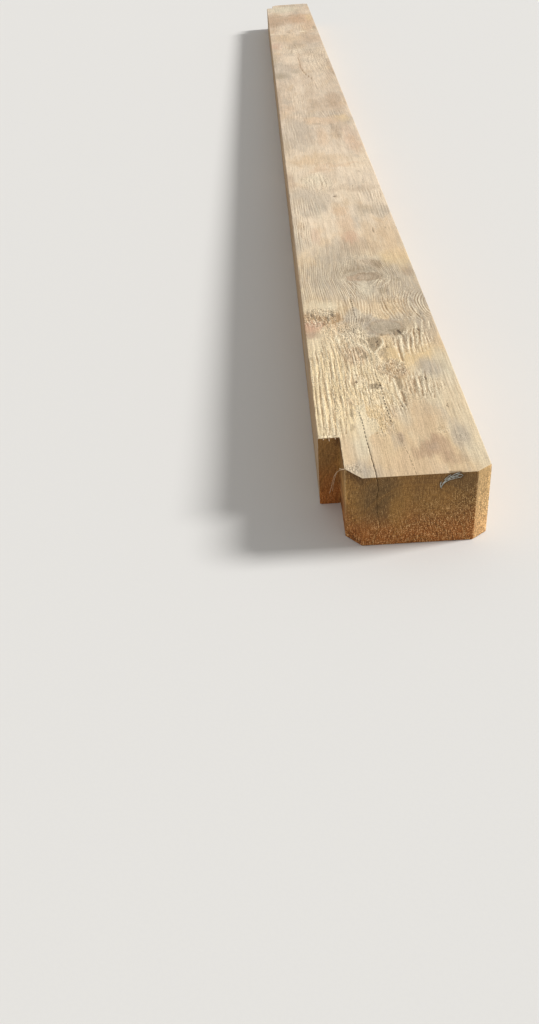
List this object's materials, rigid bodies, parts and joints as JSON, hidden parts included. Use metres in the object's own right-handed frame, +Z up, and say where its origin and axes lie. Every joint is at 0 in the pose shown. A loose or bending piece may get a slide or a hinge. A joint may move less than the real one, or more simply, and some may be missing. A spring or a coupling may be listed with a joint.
{
  "type": "timber beam",
  "caption": "Rectangular softwood beam with both ends notched from one edge to slide into grooves and with sawn-off upright end corners.",
  "frame": {"origin": "middle of the underside, halfway along the beam and across it", "axes": "+Y along the beam, +X across its width away from the notched edge, +Z up through its thickness"},
  "size_m": [0.17, 3.6, 0.085],
  "materials": {
    "wood": "rough-sawn weathered softwood, bare"
  },
  "bodies": {
    "root": {"timber_beam": "wood"}
  },
  "joints": []
}
